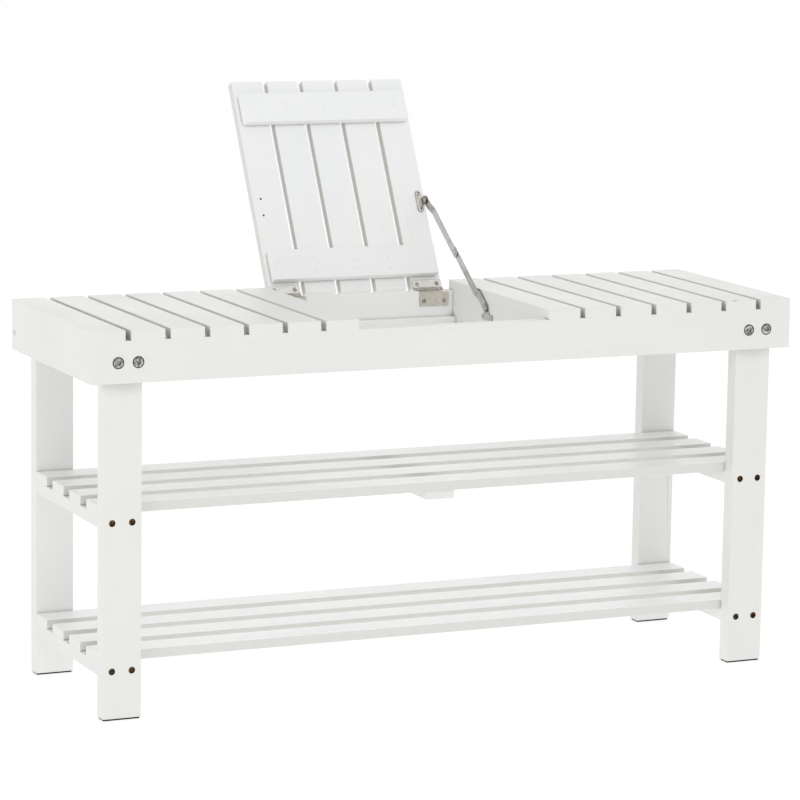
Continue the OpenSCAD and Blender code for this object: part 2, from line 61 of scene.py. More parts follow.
# Ways out of the bench's four sides and of the open lid
TO_LEFT = Vector((-1, 0, 0))
TO_RIGHT = Vector((1, 0, 0))
TO_FRONT = Vector((0, -1, 0))
TO_BACK = Vector((0, 1, 0))
LID_REAR_END = LID_TURN @ TO_BACK
LID_OUTSIDE = LID_TURN @ Vector((0, 0, 1))
LID_UNDERSIDE = LID_TURN @ Vector((0, 0, -1))

# The long faces of the frame: (name, place in Y, way out)
LONG_FACES = (
    ("front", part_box("front_rail")[0].y, TO_FRONT),
    ("back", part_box("back_rail")[1].y, TO_BACK),
)

# Fittings and boards, as in the CAD
BOLT_HEAD_RADIUS = 6.2 * MM
BOLT_SPACING = 24 * MM
SHELF_SCREW_SPACING = 24.2 * MM
RIVET_HEAD_RADIUS = 3.2 * MM
BRACKET_WIDTH = 7.6 * MM
BRACKET_SCREW_SPACING = 22 * MM
SPARE_HOLE_INSET = 3 * MM
LID_SLATS = 5
SEAT_SLATS = 7
SHELF_SLATS = 4

# Linings of drilled holes, a hair smaller than the holes. A floor is the inner radius at the bottom.
COUNTERBORE_RADIUS = 3.99 * MM
COUNTERBORE_DEPTH = 5.97 * MM
COUNTERBORE_FLOOR = 3.75 * MM
PILOT_HOLE_RADIUS = 1.24 * MM
PILOT_HOLE_DEPTH = 7.95 * MM
PILOT_HOLE_FLOOR = 0.3 * MM

# Brads through each batten into each lid slat, nailed by hand in two rough rows: distances in mm
BRAD_ROWS = {"lid_front_batten": (-7, 1), "lid_rear_batten": (-3, 8)}
BRAD_SHIFT = -3
BRAD_SCATTER = 3

# Paint beads over flush joints: how far they sink, and how they are laid
BEAD_SINK = 0.012 * MM
OPEN_BEAD_SINK = 0.10 * MM
BEAD_EDGE_SINK = 0.30 * MM
BEAD_WIDTH = 1.5 * MM
BEAD_INSET = 0.6 * MM
BEAD_STEP = 12 * MM

# How the CAD's edges are softened: angles in degrees
MERGE_REACH = 0.004 * MM
FLAT_ANGLE = 0.6
SHARP_ANGLE = 40
LEG_SPLIT_ANGLE = 1
EDGE_SEGMENTS = 3

dice = random.Random(41)


# ---------------------------------------------------------------- shader tools
class Graph:
    """A material's node tree, with short calls for the nodes that the finishes use."""

    def __init__(self, name):
        self.material = bpy.data.materials.new(name)
        self.material.use_nodes = True
        self.nodes = self.material.node_tree.nodes
        self.links = self.material.node_tree.links
        self.nodes.clear()
        self.surface = self.nodes.new("ShaderNodeBsdfPrincipled")
        output = self.nodes.new("ShaderNodeOutputMaterial")
        self.links.new(self.surface.outputs[0], output.inputs[0])

    def set_value(self, socket, value):
        if isinstance(value, bpy.types.NodeSocket):
            self.links.new(value, socket)
        else:
            socket.default_value = value

    def finish_surface(self, **values):
        for name, value in values.items():
            self.set_value(self.surface.inputs[name.replace("_", " ")], value)
        return self.material

    def place(self, tilt=0.0):
        """Object coordinates, turned about X so that Y runs along a tilted board."""
        coordinates = self.nodes.new("ShaderNodeTexCoord").outputs["Object"]
        if tilt == 0.0:
            return coordinates
        turn = self.nodes.new("ShaderNodeMapping")
        turn.inputs["Rotation"].default_value = (math.radians(tilt), 0, 0)
        self.links.new(coordinates, turn.inputs["Vector"])
        return turn.outputs[0]

    def noise(self, place, scale, detail=4.0, roughness=0.55, stretch=(1, 1, 1)):
        mapping = self.nodes.new("ShaderNodeMapping")
        mapping.inputs["Scale"].default_value = stretch
        self.links.new(place, mapping.inputs["Vector"])
        node = self.nodes.new("ShaderNodeTexNoise")
        node.inputs["Scale"].default_value = scale
        node.inputs["Detail"].default_value = detail
        node.inputs["Roughness"].default_value = roughness
        self.links.new(mapping.outputs[0], node.inputs["Vector"])
        return node.outputs[0]

    def spread(self, value, low, high, to_low=0.0, to_high=1.0):
        node = self.nodes.new("ShaderNodeMapRange")
        node.inputs["From Min"].default_value = low
        node.inputs["From Max"].default_value = high
        node.inputs["To Min"].default_value = to_low
        node.inputs["To Max"].default_value = to_high
        self.links.new(value, node.inputs["Value"])
        return node.outputs[0]

    def mix(self, factor, first, second):
        """The first colour at factor 0 and the second at factor 1."""
        node = self.nodes.new("ShaderNodeMix")
        node.data_type = "RGBA"
        self.set_value(node.inputs[0], factor)
        self.set_value(node.inputs[6], first if isinstance(first, bpy.types.NodeSocket) else (*first, 1))
        self.set_value(node.inputs[7], second if isinstance(second, bpy.types.NodeSocket) else (*second, 1))
        return node.outputs[2]

    def math(self, operation, first, second):
        node = self.nodes.new("ShaderNodeMath")
        node.operation = operation
        self.set_value(node.inputs[0], first)
        self.set_value(node.inputs[1], second)
        return node.outputs[0]

    def bump(self, height, distance, strength=1.0, under=None):
        node = self.nodes.new("ShaderNodeBump")
        node.inputs["Distance"].default_value = distance
        node.inputs["Strength"].default_value = strength
        self.links.new(height, node.inputs["Height"])
        if under is not None:
            self.links.new(under, node.inputs["Normal"])
        return node.outputs[0]

    def stain(self, place, centre, reach, strength, ragged=0.25):
        """1 x strength at a point on the surface, fading to 0 at the reach along each axis."""
        shift = self.nodes.new("ShaderNodeVectorMath")
        shift.operation = "SUBTRACT"
        self.links.new(place, shift.inputs[0])
        shift.inputs[1].default_value = centre
        squeeze = self.nodes.new("ShaderNodeVectorMath")
        squeeze.operation = "DIVIDE"
        self.links.new(shift.outputs[0], squeeze.inputs[0])
        squeeze.inputs[1].default_value = reach
        length = self.nodes.new("ShaderNodeVectorMath")
        length.operation = "LENGTH"
        self.links.new(squeeze.outputs[0], length.inputs[0])
        wander = self.spread(self.noise(place, 700.0, 3.0, 0.6), 0.3, 0.7, -ragged, ragged)
        distance = self.math("ADD", length.outputs["Value"], wander)
        node = self.nodes.new("ShaderNodeMapRange")
        node.interpolation_type = "SMOOTHSTEP"
        for name, value in (("From Min", 0.2), ("From Max", 1.0), ("To Min", strength), ("To Max", 0.0)):
            node.inputs[name].default_value = value
        self.links.new(distance, node.inputs["Value"])
        return node.outputs[0]

    def crevice(self, distance, low, high):
        """1 in gaps and corners narrower than the distance, 0 where the surface is open."""
        node = self.nodes.new("ShaderNodeAmbientOcclusion")
        node.samples = 6
        node.inputs["Distance"].default_value = distance
        return self.spread(node.outputs["AO"], high, low)

    def facing(self, direction, both_ways=True):
        """1 on faces that look along a direction of the piece's own, and 0 on the others."""
        dot = self.nodes.new("ShaderNodeVectorMath")
        dot.operation = "DOT_PRODUCT"
        self.links.new(self.nodes.new("ShaderNodeTexCoord").outputs["Normal"], dot.inputs[0])
        dot.inputs[1].default_value = direction
        size = dot.outputs["Value"]
        if both_ways:
            absolute = self.nodes.new("ShaderNodeMath")
            absolute.operation = "ABSOLUTE"
            self.links.new(size, absolute.inputs[0])
            size = absolute.outputs[0]
        return self.spread(size, 0.75, 0.95)

    def edge_mask(self, radius, low, high):
        """1 on rounded edges and 0 on the flats, from how far the normal turns within the radius."""
        bevel = self.nodes.new("ShaderNodeBevel")
        bevel.samples = 4
        bevel.inputs["Radius"].default_value = radius
        geometry = self.nodes.new("ShaderNodeNewGeometry")
        dot = self.nodes.new("ShaderNodeVectorMath")
        dot.operation = "DOT_PRODUCT"
        self.links.new(bevel.outputs[0], dot.inputs[0])
        self.links.new(geometry.outputs["Normal"], dot.inputs[1])
        return self.spread(dot.outputs["Value"], high, low)


def srgb(red, green, blue):
    """Linear colour from 8-bit sRGB values."""
    channels = []
    for value in (red, green, blue):
        share = value / 255
        linear = share / 12.92 if share <= 0.04045 else ((share + 0.055) / 1.055) ** 2.4
        channels.append(linear)
    return tuple(channels)


# ---------------------------------------------------------------- finishes
# Each paint: (main tone, thin tone over the grain, cool tone).
# The whites differ so that each place has its tone in the photo under this studio's light.
# The bench white is the paint itself; the divider, lid and inner whites are lighter copies of it, as
# painted light.
BENCH_WHITE = (srgb(236, 236, 232), srgb(228, 228, 222), srgb(234, 235, 232))
DIVIDER_WHITE_WITH_PAINTED_LIGHT = (srgb(242, 242, 240), srgb(235, 234, 230), srgb(240, 241, 239))
LID_WHITE_WITH_PAINTED_LIGHT = (srgb(250, 251, 250), srgb(243, 242, 239), srgb(247, 249, 249))
INNER_WHITE_WITH_PAINTED_LIGHT = (srgb(250, 250, 249), srgb(244, 243, 240), srgb(248, 249, 249))
# Tones of single faces and of narrow gaps, which are painted shade, and of stains and painted shadow
LID_SIDE_PAINTED_SHADE = srgb(224, 224, 218)
SHELF_FACE_PAINTED_SHADE = srgb(224, 225, 220)
PAINTED_GAP_SHADE = srgb(154, 153, 149)
STAIN_AND_SHADOW_TONE = srgb(150, 146, 136)


def painted_wood(name, along, paint, tilt=0.0, stains_and_shadows=(), sides=(), relief=1.0, gap_shade=0.60):
    """White satin paint on planed softwood, its faint grain running along one axis.
    Each stain is (centre, reach, strength): a knot or mark that shows through the paint; on the front legs,
    painted shadow under the rail.
    Each of sides is (direction, both ways, tone): faces that look that way have a tone of their own, as
    painted light and shade.
    Relief scales the grain, and a higher last value spreads the painted shade into wider gaps."""
    main, thin, cool = paint
    g = Graph(name)
    place = g.place(tilt)
    stretch = [70.0, 70.0, 70.0]
    stretch["XYZ".index(along)] = 3.0
    streaks = g.noise(place, 3.0, 6.0, 0.62, stretch)
    fine = [420.0, 420.0, 420.0]
    fine["XYZ".index(along)] = 26.0
    fibres = g.noise(place, 2.0, 3.0, 0.6, fine)
    clouds = g.noise(place, 9.0, 3.0, 0.5)
    peel = g.noise(place, 1400.0, 2.0, 0.5)
    tone = g.mix(g.spread(clouds, 0.35, 0.7), main, cool)
    tone = g.mix(g.spread(streaks, 0.56, 0.8, 0.0, 0.5), tone, thin)
    edge = g.edge_mask(0.9 * MM, 0.80, 0.98)
    tone = g.mix(g.math("MULTIPLY", edge, 0.35), tone, thin)
    for direction, both_ways, side_tone in sides:
        tone = g.mix(g.facing(direction, both_ways), tone, side_tone)
    for centre, reach, strength in stains_and_shadows:
        tone = g.mix(g.stain(place, centre, reach, strength), tone, STAIN_AND_SHADOW_TONE)
    # Painted shade: narrow gaps and corners are darkened towards a grey.
    tone = g.mix(g.math("MULTIPLY", g.crevice(9 * MM, gap_shade - 0.38, gap_shade), 0.9), tone, PAINTED_GAP_SHADE)
    roughness = g.spread(g.math("ADD", clouds, fibres), 0.7, 1.3, 0.30, 0.44)
    normal = g.bump(streaks, 0.25 * MM * relief, 0.35)
    normal = g.bump(fibres, 0.06 * MM, 0.5, normal)
    normal = g.bump(peel, 0.03 * MM, 0.5, normal)
    return g.finish_surface(
        Base_Color=tone, Roughness=roughness, Normal=normal, Specular_IOR_Level=0.5
    )


def painted_panel(name):
    """White paint on a thin board with no grain."""
    g = Graph(name)
    place = g.place()
    clouds = g.noise(place, 14.0, 4.0, 0.5)
    peel = g.noise(place, 900.0, 2.0, 0.5)
    # Painted light: the panel takes the lighter inner white.
    main, thin = INNER_WHITE_WITH_PAINTED_LIGHT[:2]
    tone = g.mix(g.spread(clouds, 0.3, 0.75), main, thin)
    roughness = g.spread(clouds, 0.3, 0.7, 0.5, 0.62)
    normal = g.bump(peel, 0.04 * MM, 0.6)
    return g.finish_surface(
        Base_Color=tone, Roughness=roughness, Normal=normal, Specular_IOR_Level=0.4
    )


def raw_wood_with_painted_shade(name):
    """Bare pine left by a drill, darkened as painted shade inside its hole."""
    g = Graph(name)
    place = g.place()
    rings = g.noise(place, 3.0, 5.0, 0.6, (500, 500, 120))
    tone = g.mix(g.spread(rings, 0.35, 0.65), srgb(50, 33, 20), srgb(116, 80, 50))
    normal = g.bump(rings, 0.2 * MM, 0.7)
    return g.finish_surface(Base_Color=tone, Roughness=0.8, Normal=normal, Specular_IOR_Level=0.2)


def filler(name):
    """Painted-over filler in a brad hole: the same white, a touch flatter and greyer."""
    g = Graph(name)
    speckle = g.noise(g.place(), 1500.0, 3.0, 0.6)
    tone = g.mix(g.spread(speckle, 0.35, 0.65), srgb(232, 232, 230), srgb(242, 242, 240))
    return g.finish_surface(
        Base_Color=tone, Roughness=0.6, Normal=g.bump(speckle, 0.05 * MM, 0.6), Specular_IOR_Level=0.4
    )


def metal(name, light, dark, painted_shade_tone, rough_low, rough_high, brushed=(1, 1, 1), rim=0.7 * MM, painted_shade_spots=()):
    """Plated steel with fine rolling marks and dull patches; its edges and crevices are darkened as painted
    shade.
    Each shade spot is (centre, reach, strength): painted shade round a pivot or along a hinge."""
    g = Graph(name)
    place = g.place()
    marks = g.noise(place, 900.0, 4.0, 0.6, brushed)
    patches = g.noise(place, 260.0, 3.0, 0.5)
    tone = g.mix(g.spread(patches, 0.35, 0.65), light, dark)
    for centre, reach, strength in painted_shade_spots:
        tone = g.mix(g.stain(place, centre, reach, strength, 0.5), tone, painted_shade_tone)
    # Painted shade: rounded edges and narrow crevices are darkened towards the shade tone.
    edge = g.edge_mask(rim, 0.72, 0.99)
    tone = g.mix(g.math("MULTIPLY", edge, 0.85), tone, painted_shade_tone)
    tone = g.mix(g.math("MULTIPLY", g.crevice(1.8 * MM, 0.30, 0.85), 0.9), tone, painted_shade_tone)
    roughness = g.spread(g.math("ADD", marks, patches), 0.7, 1.3, rough_low, rough_high)
    return g.finish_surface(
        Base_Color=tone, Roughness=roughness, Metallic=1.0, Normal=g.bump(marks, 0.02 * MM, 0.6)
    )


def rubber(name):
    """Dark moulded rubber with a fine matt grain and dust on it."""
    g = Graph(name)
    place = g.place()
    grain = g.noise(place, 1800.0, 3.0, 0.6)
    dust = g.noise(place, 120.0, 5.0, 0.65)
    tone = g.mix(g.spread(dust, 0.5, 0.8, 0.0, 0.6), srgb(10, 10, 12), srgb(26, 26, 28))
    return g.finish_surface(
        Base_Color=tone,
        Roughness=g.spread(dust, 0.3, 0.7, 0.72, 0.9),
        Normal=g.bump(grain, 0.08 * MM, 0.7),
        Specular_IOR_Level=0.12,
    )


def studio_floor(name):
    """Pale seamless floor, a little self-lit so that it stays near white."""
    g = Graph(name)
    return g.finish_surface(
        Base_Color=(0.42, 0.42, 0.42, 1.0),
        Roughness=0.9,
        Specular_IOR_Level=0.1,
        Emission_Color=(1.0, 1.0, 1.0, 1.0),
        Emission_Strength=0.67,
    )


# ---------------------------------------------------------------- softened edges
def soften(node, obj, radius):
    """Rounds the CAD node's sharp edges with modifiers, so its own mesh stays as it is."""
    merge = obj.modifiers.new("merge", "WELD")
    merge.merge_threshold = MERGE_REACH
    flats = obj.modifiers.new("flats", "DECIMATE")
    flats.decimate_type = "DISSOLVE"
    flats.angle_limit = math.radians(FLAT_ANGLE)
    edges = obj.modifiers.new("edges", "BEVEL")
    edges.width = radius
    edges.segments = EDGE_SEGMENTS
    edges.limit_method = "ANGLE"
    edges.angle_limit = math.radians(SHARP_ANGLE)
    edges.use_clamp_overlap = False
    edges.miter_outer = "MITER_ARC"
    # A leg's faces are split at its edges, so that none of them shares a normal across a hole's rim
    if node.endswith("_leg"):
        rims = obj.modifiers.new("rims", "EDGE_SPLIT")
        rims.split_angle = math.radians(LEG_SPLIT_ANGLE)
    normals = obj.modifiers.new("normals", "WEIGHTED_NORMAL")
    normals.keep_sharp = False
    normals.weight = 80


def dress(obj, material):
    obj.data.materials.clear()
    obj.data.materials.append(material)


# ---------------------------------------------------------------- materials
# Marks that show in the paint, and painted shadow under the rail: (centre, reach along each axis, strength)
rail_low, rail_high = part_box("left_end_rail")
slat_low, slat_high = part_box("right_seat_slat_2")
LEFT_END_MARK = (
    (rail_low.x, rail_high.y - 10 * MM, rail_low.z + 21.4 * MM),
    (6 * MM, 10 * MM, 5 * MM),
    0.42,
)
SLAT_KNOT = (
    (slat_low.x + 11.6 * MM, slat_low.y + 1.2 * MM, slat_high.z),
    (5.5 * MM, 3.2 * MM, 1.6 * MM),
    0.85,
)

leg_low, leg_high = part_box("front_right_leg")
# Painted shadow on each front leg just under the rail
LEG_SHADOWS_UNDER_RAIL = [
    ((side * (leg_low.x + leg_high.x) / 2, leg_low.y, rail_low.z), (44 * MM, 12 * MM, 20 * MM), 0.20)
    for side in (-1, 1)
]

FRAME_ALONG_X = painted_wood("frame_paint_along_x", "X", BENCH_WHITE)
FRAME_ALONG_Y = painted_wood("frame_paint_along_y", "Y", BENCH_WHITE)
FRONT_LEG_PAINT = painted_wood("front_leg_paint", "Z", BENCH_WHITE, stains_and_shadows=LEG_SHADOWS_UNDER_RAIL)
# Painted light: the back legs are lighter, except their side faces and backs, which keep the bench white.
BACK_LEG_PAINT = painted_wood(
    "back_leg_paint", "Z", DIVIDER_WHITE_WITH_PAINTED_LIGHT,
    sides=[(TO_RIGHT, True, BENCH_WHITE[0]), (TO_BACK, False, BENCH_WHITE[0])],
)
# Painted light: the back rail takes the lighter inner white, except on its outer back face.
BACK_RAIL_PAINT = painted_wood(
    "back_rail_paint", "X", INNER_WHITE_WITH_PAINTED_LIGHT, sides=[(TO_BACK, False, BENCH_WHITE[0])]
)
LEFT_END_PAINT = painted_wood("left_end_paint", "Y", BENCH_WHITE, stains_and_shadows=[LEFT_END_MARK])
SEAT_PAINT = painted_wood("seat_paint", "Y", BENCH_WHITE, gap_shade=0.74)
# Painted light: the side faces of the slats at the opening take the lighter divider white.
OPENING_SLAT_PAINT = painted_wood(
    "opening_slat_paint", "Y", BENCH_WHITE, sides=[(TO_RIGHT, True, DIVIDER_WHITE_WITH_PAINTED_LIGHT[0])], gap_shade=0.70
)
KNOT_SLAT_PAINT = painted_wood("knot_slat_paint", "Y", BENCH_WHITE, stains_and_shadows=[SLAT_KNOT], gap_shade=0.74)
# Painted light on the shelf slats, and painted shade on their front and back faces; their ends keep the
# bench white.
SHELF_PAINT = painted_wood(
    "shelf_paint", "X", INNER_WHITE_WITH_PAINTED_LIGHT, relief=0.3, gap_shade=0.68,
    sides=[(TO_BACK, True, SHELF_FACE_PAINTED_SHADE), (TO_RIGHT, True, BENCH_WHITE[0])],
)
# Painted light: the cleats and the dividers take lighter whites.
CLEAT_PAINT = painted_wood("cleat_paint", "X", INNER_WHITE_WITH_PAINTED_LIGHT)
DIVIDER_PAINT = painted_wood("divider_paint", "Y", DIVIDER_WHITE_WITH_PAINTED_LIGHT)
# Painted light on the lid's underside, and painted shade on its slats' side faces; their ends and outside
# keep the bench white.
LID_SLAT_PAINT = painted_wood(
    "lid_slat_paint", "Y", LID_WHITE_WITH_PAINTED_LIGHT, LID_ANGLE, gap_shade=0.66,
    sides=[
        (TO_RIGHT, True, LID_SIDE_PAINTED_SHADE),
        (LID_REAR_END, True, BENCH_WHITE[0]),
        (LID_OUTSIDE, False, BENCH_WHITE[0]),
    ],
)
# Painted light: the lid's battens take the lighter lid white.
LID_BATTEN_PAINT = painted_wood("lid_batten_paint", "X", LID_WHITE_WITH_PAINTED_LIGHT, LID_ANGLE)
PANEL = painted_panel("panel_paint")

# The stay's pivots, in the middle of their rivet heads
lower_low, lower_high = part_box("lower_arm_rivets")
upper_low, upper_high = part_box("upper_arm_rivets")
LOWER_MIDDLE = (lower_low.x + lower_high.x) / 2
UPPER_MIDDLE = (upper_low.x + upper_high.x) / 2
FRAME_PIVOT = (LOWER_MIDDLE, lower_low.y + RIVET_HEAD_RADIUS, lower_low.z + RIVET_HEAD_RADIUS)
ELBOW_PIVOT = (LOWER_MIDDLE, lower_high.y - RIVET_HEAD_RADIUS, lower_high.z - RIVET_HEAD_RADIUS)
LID_PIVOT = (UPPER_MIDDLE, upper_high.y - RIVET_HEAD_RADIUS, upper_high.z - RIVET_HEAD_RADIUS)

# Painted shade along both hinges, and rolling marks that are long in Y and Z
HINGE_LINE_SHADE = ((0, HINGE_PLACE.y, HINGE_PLACE.z), (1.0, 4.4 * MM, 4.4 * MM), 0.85)
ROLLED = (1, 0.15, 0.15)

FRAME_NICKEL = metal(
    "frame_nickel", srgb(232, 227, 217), srgb(216, 210, 198), srgb(70, 65, 57), 0.26, 0.38, ROLLED,
    painted_shade_spots=[HINGE_LINE_SHADE],
)
# The lid's hinge leaves are a lighter copy of the frame's nickel: a painted reflection of the white
# surroundings.
LID_NICKEL_WITH_PAINTED_REFLECTION = metal(
    "lid_nickel_with_painted_reflection", srgb(247, 244, 239), srgb(234, 230, 222), srgb(70, 66, 58), 0.24, 0.36, ROLLED,
    painted_shade_spots=[HINGE_LINE_SHADE],
)
# The stay and its lid bracket have painted shade round their pivots.
STAY_STEEL = metal(
    "stay_steel", srgb(218, 217, 214), srgb(198, 197, 194), srgb(44, 42, 39), 0.24, 0.36, rim=1.1 * MM,
    painted_shade_spots=[
        (FRAME_PIVOT, (9 * MM, 8 * MM, 8 * MM), 0.8),
        (ELBOW_PIVOT, (9 * MM, 6 * MM, 6 * MM), 0.8),
        (LID_PIVOT, (9 * MM, 14 * MM, 16 * MM), 0.98),
    ],
)
BRACKET_STEEL = metal(
    "bracket_steel", srgb(236, 231, 223), srgb(212, 206, 197), srgb(56, 52, 47), 0.24, 0.36, rim=0.9 * MM,
    painted_shade_spots=[(LID_PIVOT, (6 * MM, 9 * MM, 9 * MM), 0.95)],
)
RIVET_STEEL = metal("rivet_steel", srgb(226, 225, 221), srgb(190, 189, 184), srgb(40, 38, 35), 0.2, 0.3)
BOLT_STEEL = metal(
    "bolt_steel", srgb(212, 211, 207), srgb(104, 102, 98), srgb(24, 23, 21), 0.2, 0.34, rim=1.5 * MM
)
HEAD_STEEL = metal(
    "head_steel", srgb(240, 240, 242), srgb(200, 201, 205), srgb(30, 29, 28), 0.2, 0.3, rim=1.1 * MM
)
# Yellow-zinc screw steel, darkened as painted shade deep in the counterbores.
SCREW_STEEL_WITH_PAINTED_SHADE = metal("screw_steel_with_painted_shade", srgb(128, 100, 70), srgb(70, 52, 34), srgb(18, 12, 8), 0.3, 0.46)
# Painted shade: a dark metal for the rings round the bolt heads.
SHADOW_RING_METAL = metal("shadow_ring_steel", srgb(92, 88, 82), srgb(58, 55, 50), srgb(18, 17, 16), 0.4, 0.5)
RUBBER = rubber("pad_rubber")
BARE_WOOD_WITH_PAINTED_SHADE = raw_wood_with_painted_shade("raw_wood_with_painted_shade")
FILLER = filler("brad_filler")

# How a node's name starts: (material, edge radius). The first start that fits is taken.
FINISH = {
    "right_seat_slat_2": (KNOT_SLAT_PAINT, 0.5 * MM),
    "left_seat_slat_7": (OPENING_SLAT_PAINT, 0.5 * MM),
    "right_seat_slat_7": (OPENING_SLAT_PAINT, 0.5 * MM),
    "left_seat_slat": (SEAT_PAINT, 0.5 * MM),
    "right_seat_slat": (SEAT_PAINT, 0.5 * MM),
    "lid_slat": (LID_SLAT_PAINT, 0.6 * MM),
    "lid_front_batten": (LID_BATTEN_PAINT, 0.6 * MM),
    "lid_rear_batten": (LID_BATTEN_PAINT, 0.6 * MM),
    "upper_shelf_slat": (SHELF_PAINT, 0.7 * MM),
    "lower_shelf_slat": (SHELF_PAINT, 0.7 * MM),
    "front_rail": (FRAME_ALONG_X, 0.3 * MM),
    "back_rail": (BACK_RAIL_PAINT, 0.3 * MM),
    "left_end_rail": (LEFT_END_PAINT, 0.3 * MM),
    "right_end_rail": (FRAME_ALONG_Y, 0.3 * MM),
    "front_left_leg": (FRONT_LEG_PAINT, 0.3 * MM),
    "front_right_leg": (FRONT_LEG_PAINT, 0.3 * MM),
    "back_left_leg": (BACK_LEG_PAINT, 0.15 * MM),
    "back_right_leg": (BACK_LEG_PAINT, 0.15 * MM),
    "left_divider": (DIVIDER_PAINT, 0.4 * MM),
    "right_divider": (DIVIDER_PAINT, 0.4 * MM),
    "compartment_floor": (PANEL, 0.3 * MM),
    "floor_cleats": (CLEAT_PAINT, 0.4 * MM),
    "upper_left_cross_rail": (FRAME_ALONG_Y, 0.5 * MM),
    "upper_right_cross_rail": (FRAME_ALONG_Y, 0.5 * MM),
    "lower_left_cross_rail": (FRAME_ALONG_Y, 0.5 * MM),
    "lower_right_cross_rail": (FRAME_ALONG_Y, 0.5 * MM),
    "shelf_centre_batten": (FRAME_ALONG_Y, 0.6 * MM),
    "hinge_frame_leaves": (FRAME_NICKEL, 0.12 * MM),
    "hinge_lid_leaves": (LID_NICKEL_WITH_PAINTED_REFLECTION, 0.12 * MM),
    "hinge_pins": (RIVET_STEEL, 0.12 * MM),
    "stay_frame_bracket": (STAY_STEEL, 0.15 * MM),
    "stay_lower_arm": (STAY_STEEL, 0.15 * MM),
    "stay_upper_arm": (STAY_STEEL, 0.15 * MM),
    "stay_lid_bracket": (BRACKET_STEEL, 0.15 * MM),
    "lower_arm_rivets": (RIVET_STEEL, 0.1 * MM),
    "upper_arm_rivets": (RIVET_STEEL, 0.1 * MM),
    "frame_bolts": (BOLT_STEEL, 0.2 * MM),
    "shelf_screws": (SCREW_STEEL_WITH_PAINTED_SHADE, 0.08 * MM),
    "frame_screws": (HEAD_STEEL, 0.08 * MM),
    "lid_screws": (HEAD_STEEL, 0.08 * MM),
    "foot_pads": (RUBBER, 0.15 * MM),
}

for node, obj in frame["nodes"].items():
    material, radius = [FINISH[start] for start in FINISH if node.startswith(start)][0]
    dress(obj, material)
    soften(node, obj, radius)


# ---------------------------------------------------------------- details in the wood
def on_open_lid(place):
    """Where a point of the shut lid is when the lid is open."""
    return HINGE_PLACE + LID_TURN @ (place - HINGE_PLACE)


def box_in_shut_lid(node):
    """(lowest corner, highest corner) of a lid node with the lid shut."""
    back = LID_TURN.transposed()
    corners = [HINGE_PLACE + back @ (v.co - HINGE_PLACE) for v in frame["nodes"][node].data.vertices]
    low = Vector([min(corner[axis] for corner in corners) for axis in range(3)])
    high = Vector([max(corner[axis] for corner in corners) for axis in range(3)])
    return low, high


def smooth_object(name, mesh, place):
    """An object made of a bmesh, smooth shaded, where a 4 x 4 matrix puts it."""
    mesh.normal_update()
    data = bpy.data.meshes.new(name)
    mesh.to_mesh(data)
    mesh.free()
    for face in data.polygons:
        face.use_smooth = True
    piece = bpy.data.objects.new(name, data)
    piece.matrix_world = place
    bpy.context.scene.collection.objects.link(piece)
    return piece


def add_piece(name, mesh, place, outward, material, body):
    """A mesh whose own +Z points outward from the wood, put in place and riding on a body."""
    turn = outward.to_track_quat("Z", "Y").to_matrix().to_4x4()
    piece = smooth_object(name, mesh, Matrix.Translation(place) @ turn)
    dress(piece, material)
    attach(piece, body)


def drilled_lining(radius, depth, floor_radius, steps=28):
    """The bare, torn wood inside a drilled hole: its wall, a ragged rim and the ring at the bottom."""
    mesh = bmesh.new()
    # From the rim down: (share of the radius, share of the depth)
    wall = [(1.0, 0.10), (0.985, 0.22), (0.975, 0.45), (0.978, 0.70), (0.970, 0.90), (0.972, 1.0)]
    rings = []
    for share, level in wall:
        ring = []
        for step in range(steps):
            angle = 2 * math.pi * step / steps
            torn = 0.03 if level < 0.2 else 0.012
            reach = radius * (share - torn * dice.random())
            height = -depth * (level + (0.05 * dice.random() if level < 0.2 else 0.0))
            ring.append(mesh.verts.new((reach * math.cos(angle), reach * math.sin(angle), height)))
        rings.append(ring)
    ring = []
    for step in range(steps):
        angle = 2 * math.pi * step / steps
        x = floor_radius * math.cos(angle)
        y = floor_radius * math.sin(angle)
        ring.append(mesh.verts.new((x, y, -depth * (0.985 + 0.01 * dice.random()))))
    rings.append(ring)
    for upper, lower in zip(rings, rings[1:]):
        for step in range(steps):
            after = (step + 1) % steps
            mesh.faces.new((upper[step], lower[step], lower[after], upper[after]))
    if floor_radius < 0.5 * radius:
        mesh.faces.new(rings[-1])
    return mesh


def counterbore_linings():
    """Bare wood in the counterbores of the shelf screws, darkened as painted shade."""
    number = 0
    for leg in ("front_left_leg", "front_right_leg", "back_left_leg", "back_right_leg"):
        low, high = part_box(leg)
        side = "left" if "left" in leg else "right"
        outward = TO_FRONT if leg.startswith("front") else TO_BACK
        face = low.y if leg.startswith("front") else high.y
        for shelf in ("upper", "lower"):
            rail_low, rail_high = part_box(f"{shelf}_{side}_cross_rail")
            for shift in (-SHELF_SCREW_SPACING / 2, SHELF_SCREW_SPACING / 2):
                number += 1
                place = Vector(((low.x + high.x) / 2 + shift, face, (rail_low.z + rail_high.z) / 2))
                mesh = drilled_lining(COUNTERBORE_RADIUS, COUNTERBORE_DEPTH, COUNTERBORE_FLOOR)
                add_piece(
                    f"counterbore_lining_{number}", mesh, place, outward, BARE_WOOD_WITH_PAINTED_SHADE, "bench"
                )


